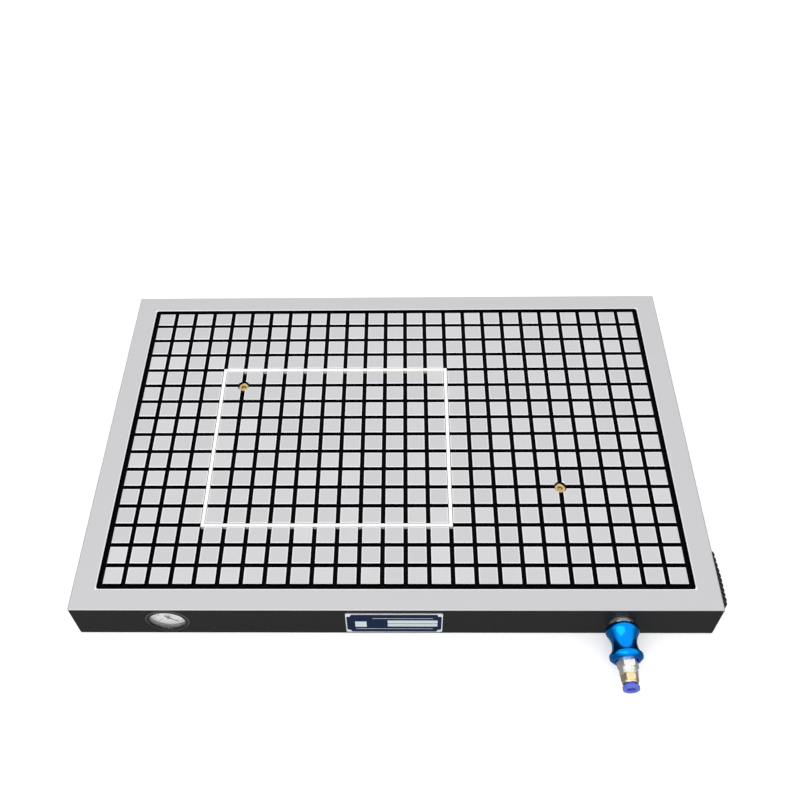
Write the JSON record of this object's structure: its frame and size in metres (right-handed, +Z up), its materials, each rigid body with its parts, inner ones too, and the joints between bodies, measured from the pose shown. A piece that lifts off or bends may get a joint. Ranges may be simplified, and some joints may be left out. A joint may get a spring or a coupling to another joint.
{
  "type": "vacuum chuck",
  "caption": "Flat vacuum chuck: a milled aluminium grid plate with a cord seal, plugged suction ports, a built-in air ejector, a vacuum gauge and a hand slide valve.",
  "frame": {"origin": "middle of the plate's underside", "axes": "+X along the plate to the valve side, +Y from the front with the gauge to the back, +Z up out of the grid"},
  "size_m": [0.6094, 0.4651, 0.0485],
  "materials": {
    "bottom_cover": "black anodised",
    "chuck_body": "milled face, black anodised sides",
    "cover_gasket": "matte",
    "ejector_diffuser": "turned",
    "ejector_nozzle": "turned brass",
    "exhaust_silencer": "black moulded",
    "fitting_body": "machined brass",
    "fitting_insert": "turned",
    "gauge_bezel": "black, satin",
    "gauge_case": "drawn steel",
    "gauge_dial": "white enamel with black figures",
    "gauge_frame": "stamped brass",
    "gauge_lens": "clear",
    "gauge_link": "stamped brass",
    "gauge_pinion": "cut brass",
    "gauge_pointer": "black",
    "gauge_sector": "stamped brass",
    "gauge_socket": "machined",
    "gauge_tube": "drawn bronze tube",
    "nameplate": "anodised, satin border",
    "port_plug_left": "machined brass",
    "port_plug_right": "machined brass",
    "port_seal_left": "matte",
    "port_seal_right": "matte",
    "release_collet": "violet blue plastic",
    "seal_cord": "soft white sponge cord",
    "silencer_felt": "pressed felt",
    "slide_sleeve": "blue anodised, satin",
    "valve_barrel": "nickel plated, ground",
    "valve_front_end": "nickel plated",
    "valve_washer": "plated, satin"
  },
  "bodies": {
    "block": {"chuck_body": "chuck_body", "seal_cord": "seal_cord", "bottom_cover": "bottom_cover", "cover_gasket": "cover_gasket", "nameplate": "nameplate", "gauge_case": "gauge_case", "gauge_bezel": "gauge_bezel", "gauge_lens": "gauge_lens", "gauge_dial": "gauge_dial", "gauge_frame": "gauge_frame", "gauge_tube": "gauge_tube", "gauge_socket": "gauge_socket", "valve_barrel": "valve_barrel", "valve_washer": "valve_washer", "valve_front_end": "valve_front_end", "fitting_body": "fitting_body", "fitting_insert": "fitting_insert", "ejector_nozzle": "ejector_nozzle", "ejector_diffuser": "ejector_diffuser", "exhaust_silencer": "exhaust_silencer", "silencer_felt": "silencer_felt"},
    "slide_sleeve": {"slide_sleeve": "slide_sleeve"},
    "release_collet": {"release_collet": "release_collet"},
    "gauge_pointer": {"gauge_pointer": "gauge_pointer", "gauge_pinion": "gauge_pinion"},
    "gauge_sector": {"gauge_sector": "gauge_sector"},
    "gauge_link": {"gauge_link": "gauge_link"},
    "port_seal_left": {"port_seal_left": "port_seal_left"},
    "port_plug_left": {"port_plug_left": "port_plug_left"},
    "port_seal_right": {"port_seal_right": "port_seal_right"},
    "port_plug_right": {"port_plug_right": "port_plug_right"}
  },
  "joints": [
    {"name": "sleeve_slide", "type": "slide", "parent": "block", "child": "slide_sleeve", "axis": [0, -1, 0], "range_m": [0, 0.007]},
    {"name": "collet_press", "type": "slide", "parent": "block", "child": "release_collet", "axis": [0, 1, 0], "range_m": [0, 0.0015], "stiffness_N_per_m": 400},
    {"name": "pointer_turn", "type": "hinge", "parent": "block", "child": "gauge_pointer", "pos_m": [-0.212, -0.19, 0.024], "axis": [0, -1, 0], "range_deg": [0, 270], "stiffness_Nm_per_rad": 0.00005},
    {"name": "sector_turn", "type": "hinge", "parent": "block", "child": "gauge_sector", "pos_m": [-0.20419, -0.189, 0.01744], "axis": [0, -1, 0], "range_deg": [-36, 0]},
    {"name": "link_turn", "type": "hinge", "parent": "gauge_sector", "child": "gauge_link", "pos_m": [-0.2014, -0.188, 0.01632], "axis": [0, -1, 0], "range_deg": [0, 36]},
    {"name": "plug_left_rise", "type": "slide", "parent": "block", "child": "port_seal_left", "axis": [0, 0, 1], "range_m": [0, 0.0075]},
    {"name": "plug_left_turn", "type": "hinge", "parent": "port_seal_left", "child": "port_plug_left", "pos_m": [-0.165, 0.066, 0.04], "axis": [0, 0, 1], "range_deg": [0, 2160]},
    {"name": "plug_right_rise", "type": "slide", "parent": "block", "child": "port_seal_right", "axis": [0, 0, 1], "range_m": [0, 0.0075]},
    {"name": "plug_right_turn", "type": "hinge", "parent": "port_seal_right", "child": "port_plug_right", "pos_m": [0.165, -0.066, 0.04], "axis": [0, 0, 1], "range_deg": [0, 2160]}
  ],
  "couplings": [
    {"joint": "sector_turn", "follows": "pointer_turn", "ratio": -0.13333},
    {"joint": "link_turn", "follows": "pointer_turn", "ratio": 0.13333},
    {"joint": "plug_left_turn", "follows": "plug_left_rise", "rad_per_m": 5026.5},
    {"joint": "plug_right_turn", "follows": "plug_right_rise", "rad_per_m": 5026.5}
  ]
}
